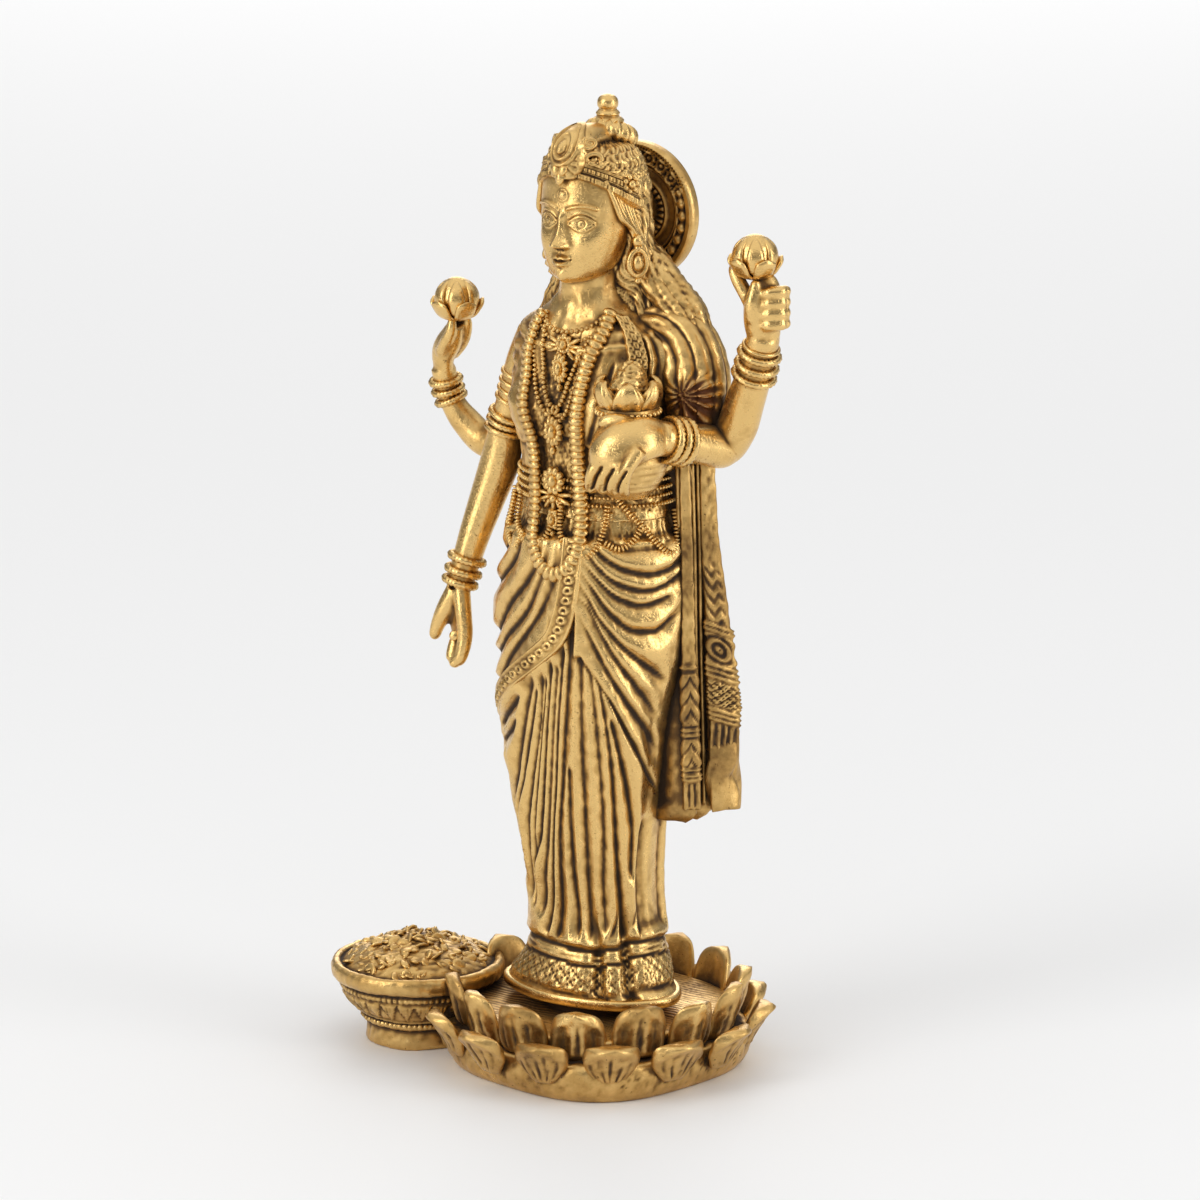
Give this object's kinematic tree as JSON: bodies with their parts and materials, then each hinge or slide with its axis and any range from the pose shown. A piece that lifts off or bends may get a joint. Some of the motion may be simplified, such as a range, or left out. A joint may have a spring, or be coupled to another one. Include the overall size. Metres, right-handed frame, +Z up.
{
  "type": "cast brass goddess figure",
  "caption": "Standing four-armed goddess in cast brass with lotus buds, pot, halo and draped cloth, on a petalled lotus base beside a bowl heaped with coins.",
  "frame": {"origin": "middle of the lotus base's flat underside, where the piece stands", "axes": "+Z up along the figure, -Y the way the figure faces, +X towards the figure's own left hand"},
  "size_m": [0.1552, 0.1078, 0.3048],
  "materials": {
    "brass": "cast and hand polished, dark patina in the hollows"
  },
  "bodies": {
    "root": {"goddess_figure": "brass", "lotus_base": "brass"}
  },
  "joints": []
}
